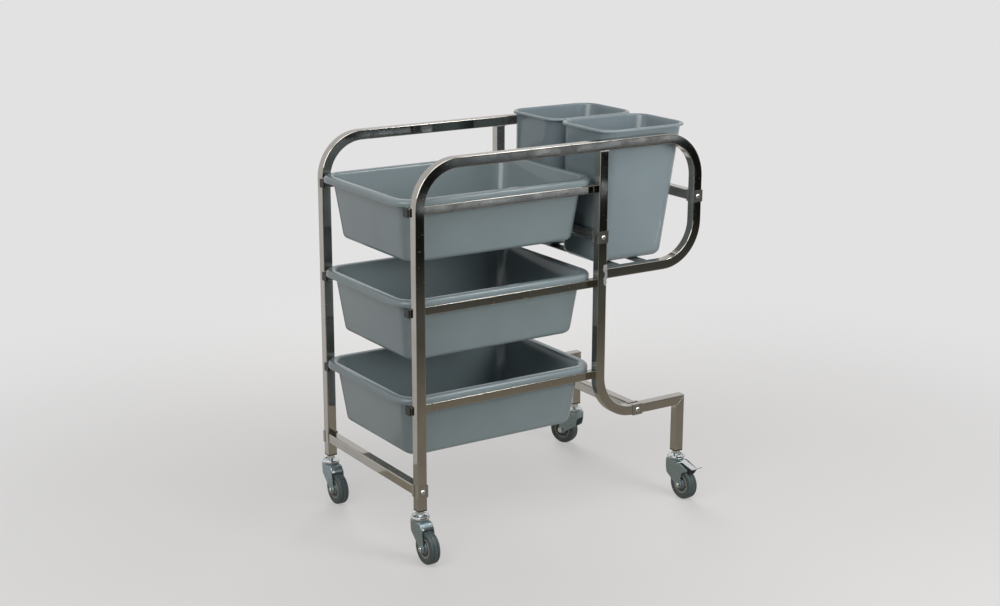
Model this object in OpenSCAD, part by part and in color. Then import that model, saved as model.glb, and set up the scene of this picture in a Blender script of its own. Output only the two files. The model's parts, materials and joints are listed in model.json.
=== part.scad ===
// Tray return trolley: two bent tube side frames bolted together by four crossbars, on four
// swivel casters. Three tubs slide in on side rails and two bins stand in the loop at the rear.
// X runs from the open front to the rear, Y from the near side frame to the far one, Z is up.
// The origin is on the floor below the middle of the whole trolley.

/* [Side frames] */
// Depth of the trolley across the outer faces of both side frames
frame_w = 480; // [460:2:520]
// Height of the top rail's upper face
rail_h = 960; // [950:1:990]
// Upper face of the top rail down to the upper face of the loop's lower rail
loop_drop = 317; // [300:1:335]
// Height of the upper face of the rear foot
foot_h = 275; // [262:1:285]
// How far the rear legs stand in front of the loop's rear face
foot_set_back = 34; // [20:1:50]
// Side of the square frame tube
tube = 25; // [24:0.5:26]
// Wall of the frame tube
tube_wall = 1.2; // [1:0.1:1.6]
// Corner radius of the frame tube
tube_r = 3; // [2:0.5:4]
// Centre line radius of every bend
bend_r = 102.5; // [90:0.5:108]

/* [Tub rails] */
// Side of the square rail tube
tub_rail = 20; // [18:0.5:21]
// Corner radius of the rail tube
tub_rail_r = 2; // [1.5:0.5:3]
// Upper face of the top rail down to the upper face of the highest tub rails
tub_drop = 111; // [104:1:118]
// How far the rails stand out in front of the front legs
rail_nose = 2; // [1:0.5:6]
// Thickness of the plug heads on the rail ends
plug_head = 4; // [3:0.5:6]
// How far a plug goes into its tube
plug_depth = 16; // [10:1:24]

/* [Crossbars] */
// Height of the front crossbar's axis above the leg's end
front_bar_rise = 46; // [40:1:60]
// Height of the bar in front of the bins above the loop's lower rail
bin_front_bar_rise = 80; // [72:1:92]
// How far the bar behind the bins lies above the middle of the loop's rear
bin_rear_bar_lift = 5; // [0:1:12]
// Sheet thickness of the pressed saddles
saddle_t = 1.5; // [1:0.1:2]
// Length of a saddle along the tube that it grips
saddle_l = 30; // [28:1:36]
// How far a saddle's flanges wrap round its tube
saddle_wrap = 6; // [4:0.5:8]
// Depth of the pressed panel in an outer saddle
panel_depth = 0.6; // [0.4:0.1:0.8]
// Diameter of the bolts that hold the crossbars
bolt_d = 6; // [5:0.5:7]
// Diameter of the bolts' pan heads
bolt_head_d = 12; // [10:0.5:14]
// Height of the bolts' pan heads
bolt_head_h = 4; // [3:0.5:5]
// Length of the threaded insert in a crossbar's end
insert_l = 14; // [10:1:20]

/* [Bin shelf] */
// Width of the flat slats that carry the bins
slat_w = 30; // [20:1:34]
// Thickness of the slats
slat_t = 3; // [2:0.5:5]
// How far the first slat lies in front of the middle of the bins' floors
slat_lead = 67.75; // [60:0.25:80]
// Distance from the first slat to the second
slat_pitch = 83; // [70:1:90]

/* [Casters] */
// Wheel diameter over the tyre
wheel_d = 80; // [76:1:84]
// Width of the tyre
tyre_w = 25; // [22:0.5:27]
// Thickness of the rubber tyre
tyre_t = 10; // [8:0.5:12]
// Gap between the tyre and each leg of the fork
tyre_side_gap = 2.5; // [2:0.1:4]
// Clear height between the tyre and the fork's crown
crown_gap = 23.5; // [22:0.5:28]
// Distance of the axle behind the swivel axis
trail = 34; // [30:1:36]
// Axle diameter
axle_d = 8; // [7:0.5:9]
// Outer diameter of the wheel's plain bush
bush_d = 12; // [11.5:0.5:14]
// Swivel stem diameter
stem_d = 12; // [10:0.5:14]
// Outer diameter of the fork's crown
crown_d = 48; // [46:1:52]
// Outer diameter of the upper race
race_d = 37; // [35:1:42]
// Sheet thickness of the fork
fork_t = 2.5; // [2:0.1:3]
// Width of the brake pedal
pedal_w = 20; // [16:1:24]
// Distance of the brake pedal's tip from the swivel axis
pedal_reach = 100; // [94:1:106]
// Rest directions of the casters: front near, front far, rear near, rear far
swivel = [-90, -90, -88, 110];

/* [Tubs] */
// Length of a tub over its rim
tub_l = 557; // [530:1:580]
// How far the tub's rim stands out in front of the front legs
tub_nose = 20; // [14:1:24]
// How far the tub's rim reaches behind the front faces of the uprights
tub_tail = 22; // [10:1:24]
// Gap between the tub's rim and the side frame
tub_side_gap = 2.5; // [2:0.5:5]
// Clear height between the front crossbar and the lowest tub
tub_ground_gap = 51; // [40:1:60]
// Clear height between a tub's rim and the underside of the tub above
tub_air = 79.5; // [70:0.5:90]
// Height of the rim's turned-down lip
tub_lip = 15; // [10:0.5:18]
// Width of the rim outside the tub's wall
tub_rim_w = 22; // [22:0.5:26]
// How far the wall draws in from the rim to the floor
tub_taper = 17; // [12:1:30]
// Wall thickness of tubs and bins
plastic_wall = 3; // [2.5:0.1:4]
// Corner radius of the tub's rim seen from above
tub_corner_r = 62; // [56:1:70]

/* [Bins] */
// Length of a bin over its rim
bin_l = 268.5; // [255:0.5:285]
// Height of a bin
bin_h = 334; // [320:1:350]
// Gap between the rims of the two bins
bin_gap = 6; // [4:1:10]
// Gap between the front bar and a bin's wall below the rim
bin_front_gap = 11.5; // [9:0.5:15]
// Gap between a bin's wall below the rim and the loop's rear tube
bin_rear_gap = 3; // [2:0.5:8]
// Gap between a bin's wall below the rim and the side frame
bin_side_gap = 5; // [3:0.5:8]
// How far a bin's wall draws in from the rim to the floor
bin_taper = 17; // [12:1:24]
// How far a bin's floor lies in front of its rim's middle
bin_lean = 28; // [0:1:29]
// Width of the bin's rim outside its wall
bin_rim_w = 8; // [5:0.5:10]
// Corner radius of the bin's rim seen from above
bin_corner_r = 52; // [46:1:58]

/* [Hidden] */
$fn = 48;

steel = [0.72, 0.72, 0.72];
zinc = [0.66, 0.69, 0.70];
grey_plastic = [0.49, 0.54, 0.57];
black_plastic = [0.09, 0.09, 0.09];
grey_rubber = [0.32, 0.35, 0.36];
hub_plastic = [0.45, 0.46, 0.45];

// The side frames: near is -1, far is 1
near = -1;
far = 1;
member_y = frame_w / 2 - tube / 2;
inner_face_y = frame_w / 2 - tube;
bore_r = max(tube_r - tube_wall, 0.5);
bore = tube - 2 * tube_wall;
slide_gap = 0.1;
cut = 1;

// Lengths along the side frame, from the front face of the front leg: the tubs give the place of
// the uprights, and the bins the length of the loop
upright_x = tub_l - tub_nose - tub_tail;
bin_start_x = upright_x + tube + bin_front_gap - bin_rim_w;
bin_x = bin_start_x + bin_l / 2;
loop_l = bin_start_x + bin_l - bin_rim_w + bin_rear_gap + tube;
foot_l = loop_l - foot_set_back;
slat_x = bin_x - bin_lean - slat_lead;
x_shift = -(loop_l + saddle_t - tub_nose) / 2;

// Casters, all heights from the floor up to the ends of the legs
axle_h = wheel_d / 2;
plug_flange = 3;
collar_h = 9;
collar_flats = 19;
race_h = 8;
race_t = 2;
crown_t = 3;
crown_z = wheel_d + crown_gap;
race_z = crown_z + crown_t + 0.5;
collar_z = race_z + race_h - 1;
leg_end_h = collar_z + collar_h + plug_flange;

// Heights of the frame, and the tubs' share of it: three tubs between the front bar and the top
loop_rail_h = rail_h - loop_drop;
front_bar_h = leg_end_h + front_bar_rise;
bin_front_bar_h = loop_rail_h + bin_front_bar_rise;
bin_rear_bar_h = (rail_h + loop_rail_h - tube) / 2 + bin_rear_bar_lift;
tub_ground = front_bar_h + tube / 2 + tub_ground_gap;
top_tub_rail_h = rail_h - tub_drop;
tub_h = (top_tub_rail_h + tub_lip - tub_ground - 2 * tub_air) / 3;
tub_rail_pitch = tub_h + tub_air;
tub_w = 2 * (inner_face_y - tub_side_gap);
bin_w = inner_face_y - bin_side_gap + bin_rim_w - bin_gap / 2;

// Axes of the crossbar joints: place on the side frame, and whether the tube there stands upright
rear_bar_x = upright_x + tube / 2 + bend_r + saddle_l / 2;
bar_places = [
    [tube / 2, front_bar_h, true],
    [rear_bar_x, foot_h - tube / 2, false],
    [upright_x + tube / 2, bin_front_bar_h, true],
    [loop_l - tube / 2, bin_rear_bar_h, true]
];
bar_end_y = inner_face_y - saddle_t;
bolt_hole_d = bolt_d + 0.6;

caster_places = [
    [tube / 2, near * member_y],
    [tube / 2, far * member_y],
    [foot_l - tube / 2, near * member_y],
    [foot_l - tube / 2, far * member_y]
];
stem_up = 26;
stem_foot = 2;
core_r = wheel_d / 2 - tyre_t;
fork_gap = tyre_w + 2 * tyre_side_gap;
tyre_fit = 0.05;
tyre_shoulder = 4;
rim_t = 4;
web_t = 6;
hub_d = bush_d + 10;
hub_l = fork_gap - 2;
bush_l = fork_gap - 0.6;
axle_eye_r = axle_d / 2 + 6;
fork_y = fork_gap / 2;
pedal_pin_d = 5;
pedal_pin = [26, crown_z - 8];
pedal_t = 2.5;
pad_gap = 6;
pad_w = 16;
pad_h = 11;
pad_angle = 56;

// Plastic ware
tub_bottom_r = 10;
lip_t = 2.5;
tub_lip_z = tub_h - tub_lip;
corner_steps = 8;
bin_bottom_r = 16;

module shop() {
    translate([x_shift, 0, 0]) children();
}

// Square with true round corners, centred
module round_square(side, r) {
    square([side, side - 2 * r], center = true);
    square([side - 2 * r, side], center = true);
    for (sx = [-1, 1], sy = [-1, 1])
        translate([sx * (side / 2 - r), sy * (side / 2 - r)]) circle(r);
}

// Straight bar of square section along X or Z, from a point
module bar_z(p, l, side, r) {
    translate(p) linear_extrude(l) round_square(side, r);
}

module bar_x(p, l, side, r) {
    translate(p) rotate([0, 90, 0]) linear_extrude(l) round_square(side, r);
}

module bar_y(p, l, side, r) {
    translate(p) rotate([-90, 0, 0]) linear_extrude(l) round_square(side, r);
}

// Quarter bend in the XZ plane about a centre, from an angle measured from X towards Z
module quarter_bend(c, from, side, r) {
    translate(c) rotate([90, 0, 0]) rotate_extrude(angle = 90, start = from, $fn = 120)
        translate([bend_r, 0]) round_square(side, r);
}

// Bolt holes along Y through a side frame member
module bolt_holes(indices) {
    for (i = indices)
        translate([bar_places[i][0], 0, bar_places[i][1]]) rotate([90, 0, 0])
            cylinder(d = bolt_hole_d, h = tube + 2 * cut, center = true);
}

// The bent loop: front leg, top rail, rear, and lower rail back to the upright
module loop_path(side, r, past) {
    axis_top = rail_h - tube / 2;
    axis_low = loop_rail_h - tube / 2;
    x_front = tube / 2;
    x_rear = loop_l - tube / 2;
    low_start = upright_x + tube - past;
    bar_z([x_front, 0, leg_end_h - past], axis_top - bend_r - leg_end_h + past, side, r);
    quarter_bend([x_front + bend_r, 0, axis_top - bend_r], 90, side, r);
    bar_x([x_front + bend_r, 0, axis_top], x_rear - x_front - 2 * bend_r, side, r);
    quarter_bend([x_rear - bend_r, 0, axis_top - bend_r], 0, side, r);
    bar_z([x_rear, 0, axis_low + bend_r], axis_top - axis_low - 2 * bend_r, side, r);
    quarter_bend([x_rear - bend_r, 0, axis_low + bend_r], 270, side, r);
    bar_x([low_start, 0, axis_low], x_rear - bend_r - low_start, side, r);
}

module side_loop(s) {
    color(steel) shop() translate([0, s * member_y, 0]) difference() {
        loop_path(tube, tube_r, 0);
        loop_path(bore, bore_r, cut);
        bolt_holes([0, 3]);
    }
}

// The upright: from below the top rail down, then bent to the rear into the foot
module upright_path(side, r, past) {
    axis_foot = foot_h - tube / 2;
    x_up = upright_x + tube / 2;
    bar_z([x_up, 0, axis_foot + bend_r], rail_h - tube - axis_foot - bend_r + past, side, r);
    quarter_bend([x_up + bend_r, 0, axis_foot + bend_r], 180, side, r);
    bar_x([x_up + bend_r, 0, axis_foot], foot_l - x_up - bend_r + past, side, r);
}

// Everything on one side of the mitre between foot and rear leg: 1 is above it, -1 below
module beside_mitre(above) {
    reach = 4 * tube;
    translate([foot_l, 0, foot_h]) rotate([0, -45, 0])
        translate([-reach, -tube, above > 0 ? 0 : -reach]) cube([2 * reach, 2 * tube, reach]);
}

module rear_upright(s) {
    color(steel) shop() translate([0, s * member_y, 0]) difference() {
        upright_path(tube, tube_r, 0);
        upright_path(bore, bore_r, cut);
        beside_mitre(-1);
        bolt_holes([1, 2]);
    }
}

module rear_leg(s) {
    color(steel) shop() translate([0, s * member_y, 0]) difference() {
        bar_z([foot_l - tube / 2, 0, leg_end_h], foot_h - leg_end_h, tube, tube_r);
        bar_z([foot_l - tube / 2, 0, leg_end_h - cut], foot_h - leg_end_h + 2 * cut, bore, bore_r);
        beside_mitre(1);
    }
}

// Tub rails, welded to the inner faces of front leg and upright
rail_bore = tub_rail - 2 * tube_wall;
rail_y = inner_face_y - tub_rail / 2;

function rail_top(level) = top_tub_rail_h - level * tub_rail_pitch;

module tub_support(s, level) {
    start = [-rail_nose, s * rail_y, rail_top(level) - tub_rail / 2];
    l = rail_nose + upright_x + tube;
    color(steel) shop() difference() {
        bar_x(start, l, tub_rail, tub_rail_r);
        bar_x(start - [cut, 0, 0], l + 2 * cut, rail_bore, max(tub_rail_r - tube_wall, 0.4));
    }
}

module rail_end_plugs() {
    head = tub_rail + 1;
    shank = rail_bore - 2 * slide_gap;
    color(black_plastic) shop() for (s = [near, far], level = [0:2])
        translate([-rail_nose, s * rail_y, rail_top(level) - tub_rail / 2]) {
            bar_x([-plug_head, 0, -0.5], plug_head, head, 2);
            bar_x([-cut, 0, 0], plug_depth + cut, shank, 1);
        }
}

module leg_plugs() {
    shank = bore - 2 * slide_gap;
    color(black_plastic) shop() for (p = caster_places)
        translate([p[0], p[1], leg_end_h]) difference() {
            union() {
                bar_z([0, 0, -plug_flange], plug_flange, tube, tube_r);
                bar_z([0, 0, -cut], plug_depth + cut, shank, 1.5);
            }
            translate([0, 0, -plug_flange - cut])
                cylinder(d = stem_d + 2 * slide_gap, h = plug_depth + plug_flange + 2 * cut);
        }
}

// Crossbars between the side frames, with a threaded insert in each end
module crossbar(i) {
    p = bar_places[i];
    color(steel) shop() difference() {
        bar_y([p[0], -bar_end_y, p[1]], 2 * bar_end_y, tube, tube_r);
        bar_y([p[0], -bar_end_y - cut, p[1]], 2 * (bar_end_y + cut), bore, bore_r);
    }
}

module bar_inserts() {
    color(zinc) shop() for (p = bar_places, s = [near, far])
        translate([p[0], s * bar_end_y, p[1]]) rotate([s * 90, 0, 0]) difference() {
            linear_extrude(insert_l) round_square(bore - 2 * slide_gap, bore_r);
            translate([0, 0, -cut]) cylinder(d = bolt_d + 2 * slide_gap, h = insert_l + 2 * cut);
        }
}

// Pressed saddle on a side frame member that runs along local Z, with its base towards local Y
module saddle() {
    w = tube + 2 * saddle_t;
    translate([-w / 2, 0, -saddle_l / 2]) cube([w, saddle_t, saddle_l]);
    for (s = [-1, 1])
        translate([s * (tube + saddle_t) / 2, -saddle_wrap / 2 + saddle_t / 2, 0])
            cube([saddle_t, saddle_wrap + saddle_t, saddle_l], center = true);
}

module saddle_hole() {
    rotate([90, 0, 0]) cylinder(d = bolt_hole_d, h = 4 * saddle_t, center = true);
}

// Stands children on a joint's face: outward is 1 on the outer face and -1 on the inner face
module on_joint(p, s, outward) {
    y = outward > 0 ? frame_w / 2 : inner_face_y;
    translate([p[0], s * y, p[1]]) rotate([0, p[2] ? 0 : 90, 0])
        rotate([0, 0, s * outward > 0 ? 0 : 180]) children();
}

module inner_saddles() {
    color(steel) shop() for (p = bar_places, s = [near, far]) on_joint(p, s, -1) difference() {
        saddle();
        saddle_hole();
    }
}

module saddle_clips() {
    panel = [tube - 6, 2 * panel_depth, saddle_l - 8];
    color(steel) shop() for (p = bar_places, s = [near, far]) on_joint(p, s, 1) difference() {
        saddle();
        translate([0, saddle_t, 0]) cube(panel, center = true);
        saddle_hole();
    }
}

module joint_bolts() {
    seat = saddle_t - panel_depth;
    shank_l = seat + tube + saddle_t + insert_l - 2;
    dome_r = (pow(bolt_head_d / 2, 2) + pow(bolt_head_h, 2)) / (2 * bolt_head_h);
    slot_w = bolt_d / 5;
    color(zinc) shop() for (p = bar_places, s = [near, far])
        on_joint(p, s, 1) translate([0, seat, 0]) rotate([-90, 0, 0]) {
            difference() {
                intersection() {
                    cylinder(d = bolt_head_d, h = bolt_head_h);
                    translate([0, 0, bolt_head_h + 0.6 - dome_r]) sphere(dome_r);
                }
                for (a = [0, 90]) rotate([0, 0, a])
                    translate([0, 0, bolt_head_h]) cube([bolt_d, slot_w, bolt_head_h], center = true);
            }
            translate([0, 0, -shank_l]) cylinder(d = bolt_d, h = shank_l + cut);
        }
}

// Flat bars between the loops' lower rails, flush with their upper faces
module bin_slat(i) {
    color(steel) shop() translate([slat_x + i * slat_pitch - slat_w / 2, -inner_face_y, loop_rail_h - slat_t])
        cube([slat_w, 2 * inner_face_y, slat_t]);
}

// Threaded stem with its collar, and the riveted pivot below it
module caster_stems() {
    color(zinc) shop() for (p = caster_places) translate([p[0], p[1], 0]) {
        translate([0, 0, collar_z]) cylinder(d = collar_flats / cos(30), h = collar_h, $fn = 6);
        translate([0, 0, crown_z - stem_foot])
            cylinder(d = stem_d, h = leg_end_h + stem_up - plug_depth - crown_z + stem_foot);
        translate([0, 0, crown_z - stem_foot - slide_gap]) cylinder(d = stem_d + 8, h = stem_foot - 0.3);
    }
}

// Dished upper race, held under the collar
module caster_races() {
    bottom = race_z;
    rim = race_z + race_h;
    flat = collar_z - race_t;
    color(zinc) shop() for (p = caster_places) translate([p[0], p[1], 0]) rotate_extrude() polygon([
        [stem_d / 2 + slide_gap, flat], [stem_d / 2 + slide_gap, flat + race_t],
        [race_d / 2 - 6, flat + race_t], [race_d / 2 - race_t, rim], [race_d / 2, rim],
        [race_d / 2, bottom], [race_d / 2 - 3, bottom], [race_d / 2 - 5, flat]
    ]);
}

// Stands children on a caster's swivel axis, turned to where it trails
module at_caster(i) {
    p = caster_places[i];
    shop() translate([p[0], p[1], 0]) rotate([0, 0, swivel[i]]) children();
}

// A cylinder along the axle's direction, in the fork's own frame
module along_axle(p, d, l) {
    translate([p[0], 0, p[1]]) rotate([90, 0, 0]) cylinder(d = d, h = l, center = true);
}

// One tapered fork leg with its axle eye, in the plane of the wheel
module fork_leg() {
    top = crown_z + crown_t / 2;
    half = crown_d / 2 - 5;
    eye = axle_eye_r - 0.3;
    shoulder = pedal_pin[0] + 7;
    rotate([90, 0, 0]) linear_extrude(fork_t, center = true)
        polygon([[-half, top], [shoulder, top], [shoulder, pedal_pin[1] - 5], [trail + eye, axle_h],
                 [trail - eye, axle_h], [-half, crown_z - 14]]);
    along_axle([trail, axle_h], 2 * axle_eye_r, fork_t);
}

// Pressed fork: a crown that is the lower race, a web and two legs with a curved relief
module fork(i) {
    outside = 2 * (fork_y + fork_t);
    web_l = crown_d / 2 - 5 + pedal_pin[0] + 7;
    relief_d = 30;
    color(zinc) at_caster(i) difference() {
        union() {
            for (s = [-1, 1]) translate([0, s * (fork_y + fork_t / 2), 0]) fork_leg();
            translate([5 - crown_d / 2, -outside / 2, crown_z]) cube([web_l, outside, crown_t - 0.5]);
            translate([0, 0, crown_z + 0.5]) cylinder(d = crown_d, h = crown_t - 0.5);
        }
        along_axle([trail + relief_d / 2 + 1, axle_h + 24], relief_d, outside + 2 * cut);
        along_axle([trail, axle_h], axle_d + 2 * slide_gap, outside + 2 * cut);
        along_axle(pedal_pin, pedal_pin_d + 2 * slide_gap, outside + 2 * cut);
        translate([0, 0, crown_z - cut]) cylinder(d = stem_d + 2 * slide_gap, h = crown_t + 2 * cut);
    }
}

// Axle bolt with its hexagon head and nut
module axle(i) {
    reach = fork_y + fork_t;
    head_h = 5;
    flats = 13;
    color(zinc) at_caster(i) translate([trail, 0, axle_h]) rotate([90, 0, 0]) {
        translate([0, 0, -reach]) cylinder(d = axle_d, h = 2 * reach + head_h + 2);
        translate([0, 0, -reach - head_h]) cylinder(d = flats / cos(30), h = head_h, $fn = 6);
        translate([0, 0, reach]) difference() {
            cylinder(d = flats / cos(30), h = head_h, $fn = 6);
            translate([0, 0, -cut]) cylinder(d = axle_d + slide_gap, h = head_h + 2 * cut);
        }
    }
}

module bush(i) {
    color(black_plastic) at_caster(i) translate([trail, 0, axle_h]) rotate([90, 0, 0]) difference() {
        cylinder(d = bush_d, h = bush_l, center = true);
        cylinder(d = axle_d + slide_gap, h = bush_l + 2 * cut, center = true);
    }
}

// Moulded wheel centre: rim, dished web and hub
module wheel(i) {
    w = tyre_w / 2 - 1;
    color(hub_plastic) at_caster(i) translate([trail, 0, axle_h]) rotate([90, 0, 0]) rotate_extrude($fn = 72) {
        translate([core_r - rim_t, -w]) square([rim_t, 2 * w]);
        translate([hub_d / 2 - cut, -web_t / 2]) square([core_r - rim_t - hub_d / 2 + 2 * cut, web_t]);
        translate([bush_d / 2 + tyre_fit, -hub_l / 2]) square([(hub_d - bush_d) / 2 - tyre_fit, hub_l]);
    }
}

module tyre(i) {
    r0 = core_r + tyre_fit;
    r1 = wheel_d / 2;
    w = tyre_w / 2;
    color(grey_rubber) at_caster(i) translate([trail, 0, axle_h]) rotate([90, 0, 0]) rotate_extrude($fn = 96) {
        translate([r0, -w]) square([r1 - tyre_shoulder - r0, 2 * w]);
        translate([r0, tyre_shoulder - w]) square([r1 - r0, 2 * (w - tyre_shoulder)]);
        for (s = [-1, 1]) translate([r1 - tyre_shoulder, s * (w - tyre_shoulder)]) circle(tyre_shoulder);
    }
}

module brake_pin(i) {
    reach = fork_y + fork_t + 1;
    color(zinc) at_caster(i) translate([pedal_pin[0], 0, pedal_pin[1]]) rotate([90, 0, 0])
        cylinder(d = pedal_pin_d, h = 2 * reach, center = true);
}

// Place on the tyre that the brake pad faces, and the pad's direction
pad_foot_r = wheel_d / 2 + pad_gap;
pad_foot = [trail + pad_foot_r * cos(pad_angle), axle_h + pad_foot_r * sin(pad_angle)];

// Pressed pedal: an eye on the pin, an arm over the wheel and an upturned toe
module brake_pedal(i) {
    eye_r = pedal_pin_d / 2 + 3;
    arm_z = pad_foot[1] + pad_h * sin(pad_angle);
    arm_x = pad_foot[0] + pad_h * cos(pad_angle) + 8;
    toe_z = pedal_pin[1] + 6;
    color(zinc) at_caster(i) rotate([90, 0, 0]) translate([0, 0, -pedal_w / 2]) linear_extrude(pedal_w)
        difference() {
            union() {
                translate(pedal_pin) circle(eye_r);
                polygon([pedal_pin + [0, eye_r], pedal_pin + [0, eye_r - pedal_t], [arm_x, arm_z],
                         [pedal_reach, toe_z], [pedal_reach, toe_z + pedal_t], [arm_x, arm_z + pedal_t]]);
            }
            translate(pedal_pin) circle(d = pedal_pin_d + slide_gap);
        }
}

// Rubber pad below the pedal, facing the tyre
module brake_pad(i) {
    half = 6;
    color(black_plastic) at_caster(i) rotate([90, 0, 0]) translate([0, 0, -pad_w / 2]) linear_extrude(pad_w)
        difference() {
            translate(pad_foot) rotate(pad_angle - 90) translate([-half, 0]) square([2 * half, 2 * pad_h]);
            pedal_shadow();
        }
}

// The pedal's arm and all above it, in the plane of the wheel
module pedal_shadow() {
    eye_r = pedal_pin_d / 2 + 3;
    arm_z = pad_foot[1] + pad_h * sin(pad_angle);
    arm_x = pad_foot[0] + pad_h * cos(pad_angle) + 8;
    toe_z = pedal_pin[1] + 6;
    high = crown_z + 3 * pad_h;
    polygon([pedal_pin + [0, eye_r - pedal_t], [arm_x, arm_z], [pedal_reach, toe_z],
             [pedal_reach, high], [pedal_pin[0], high]]);
}

// Moulded shells: rings of a rounded rectangle, drawn in by an inset, joined into one skin
function corner(cx, cy, r, from) =
    [for (k = [0:corner_steps]) let (a = from + 90 * k / corner_steps) [cx + r * cos(a), cy + r * sin(a)]];

function ring(l, w, inset, r, z, ahead) = let (x = l / 2 - inset - r, y = w / 2 - inset - r)
    [for (p = concat(corner(x, y, r, 0), corner(-x, y, r, 90), corner(-x, -y, r, 180), corner(x, -y, r, 270)))
        [p[0] - ahead, p[1], z]];

// A section is its inset from the rim, its corner radius, its height, and how far it lies ahead
module moulded_shell(l, w, sections) {
    n = 4 * (corner_steps + 1);
    rings = len(sections);
    points = [for (s = sections) each ring(l, w, s[0], s[1], s[2], s[3])];
    sides = [for (k = [0:rings - 2], i = [0:n - 1]) let (a = k * n + i, b = k * n + (i + 1) % n)
        each [[a, a + n, b], [b, a + n, b + n]]];
    underside = [[for (i = [0:n - 1]) i]];
    inside_floor = [[for (i = [n - 1:-1:0]) (rings - 1) * n + i]];
    polyhedron(points, concat(underside, sides, inside_floor));
}

// Bus tub: outside from the floor up, round the turned-down rim, and down the inside
module tub(level) {
    w = plastic_wall;
    r = tub_corner_r;
    low = tub_rim_w + tub_taper;
    b = tub_bottom_r;
    low_r = r - low + 15;
    color(grey_plastic) shop() translate([tub_l / 2 - tub_nose, 0, rail_top(level) + tub_lip - tub_h])
        moulded_shell(tub_l, tub_w, [
            [low + b, low_r - b, 0, 0],
            [low + b * 0.3, low_r - b * 0.3, b * 0.3, 0],
            [low, low_r, b, 0],
            [tub_rim_w, r - tub_rim_w, tub_h - w, 0],
            [lip_t, r - lip_t, tub_h - w, 0],
            [lip_t, r - lip_t, tub_lip_z, 0],
            [0, r, tub_lip_z, 0],
            [0, r, tub_h - w, 0],
            [w * 0.3, r - w * 0.3, tub_h - w * 0.3, 0],
            [w, r - w, tub_h, 0],
            [tub_rim_w - w, r - tub_rim_w + w, tub_h, 0],
            [tub_rim_w + w, r - tub_rim_w - w, tub_h - 2 * w, 0],
            [low + w, low_r - w, b + w, 0],
            [low + w + b * 0.3, low_r - w - b * 0.3, w + b * 0.3, 0],
            [low + w + b, low_r - w - b, w, 0]
        ]);
}

// Waste bin: its front wall stands upright and its rear wall slopes, below a thin outward lip
module bin(s) {
    w = plastic_wall;
    r = bin_corner_r;
    low = bin_rim_w + bin_taper;
    b = bin_bottom_r;
    low_r = r - low + 12;
    y = s * (bin_gap + bin_w) / 2;
    color(grey_plastic) shop() translate([bin_x, y, loop_rail_h])
        moulded_shell(bin_l, bin_w, [
            [low + b, low_r - b, 0, bin_lean],
            [low + b * 0.3, low_r - b * 0.3, b * 0.3, bin_lean],
            [low, low_r, b, bin_lean * (1 - b / bin_h)],
            [bin_rim_w, r - bin_rim_w, bin_h - 2 * w, 0],
            [0, r, bin_h - 2 * w, 0],
            [0, r, bin_h - w, 0],
            [w * 0.3, r - w * 0.3, bin_h - w * 0.3, 0],
            [w, r - w, bin_h, 0],
            [bin_rim_w + w * 0.5, r - bin_rim_w, bin_h, 0],
            [bin_rim_w + w, r - bin_rim_w - w, bin_h - 2 * w, 0],
            [low + w, low_r - w, b + w, bin_lean * (1 - b / bin_h)],
            [low + w + b * 0.3, low_r - w - b * 0.3, w + b * 0.3, bin_lean],
            [low + w + b, low_r - w - b, w, bin_lean]
        ]);
}

side_loop(near);  // side_loop_near
side_loop(far);  // side_loop_far
rear_upright(near);  // rear_upright_near
rear_upright(far);  // rear_upright_far
rear_leg(near);  // rear_leg_near
rear_leg(far);  // rear_leg_far
tub_support(near, 0);  // top_rail_near
tub_support(far, 0);  // top_rail_far
tub_support(near, 1);  // middle_rail_near
tub_support(far, 1);  // middle_rail_far
tub_support(near, 2);  // bottom_rail_near
tub_support(far, 2);  // bottom_rail_far
rail_end_plugs();
leg_plugs();
crossbar(0);  // front_crossbar
crossbar(1);  // rear_crossbar
crossbar(2);  // bin_front_bar
crossbar(3);  // bin_rear_bar
bar_inserts();
inner_saddles();
saddle_clips();
joint_bolts();
bin_slat(0);  // front_slat
bin_slat(1);  // rear_slat
caster_stems();
caster_races();
fork(0);  // fork_front_near
fork(1);  // fork_front_far
fork(2);  // fork_rear_near
fork(3);  // fork_rear_far
axle(0);  // axle_front_near
axle(1);  // axle_front_far
axle(2);  // axle_rear_near
axle(3);  // axle_rear_far
bush(0);  // bush_front_near
bush(1);  // bush_front_far
bush(2);  // bush_rear_near
bush(3);  // bush_rear_far
wheel(0);  // wheel_front_near
wheel(1);  // wheel_front_far
wheel(2);  // wheel_rear_near
wheel(3);  // wheel_rear_far
tyre(0);  // tyre_front_near
tyre(1);  // tyre_front_far
tyre(2);  // tyre_rear_near
tyre(3);  // tyre_rear_far
brake_pin(2);  // brake_pin_near
brake_pin(3);  // brake_pin_far
brake_pedal(2);  // brake_pedal_near
brake_pedal(3);  // brake_pedal_far
brake_pad(2);  // brake_pad_near
brake_pad(3);  // brake_pad_far
tub(0);  // top_tub
tub(1);  // middle_tub
tub(2);  // bottom_tub
bin(near);  // near_bin
bin(far);  // far_bin
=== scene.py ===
# %% [markdown]
# # A tray return trolley in Blender
# The trolley's steel frame, casters, tubs and bins arrive as exact solids from the CAD model. This
# lesson dresses them: it mixes a material for every surface, remodels the moulded plastic ware with
# soft corners, turns the wheels and the caster races, folds the forks and the brake pedals, lays the
# weld beads that hold the frame together, and sets up a camera and lamps to photograph the result.

# %% The imported frame
import json
import math
import random

import bpy
from mathutils import Matrix, Vector


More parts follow.
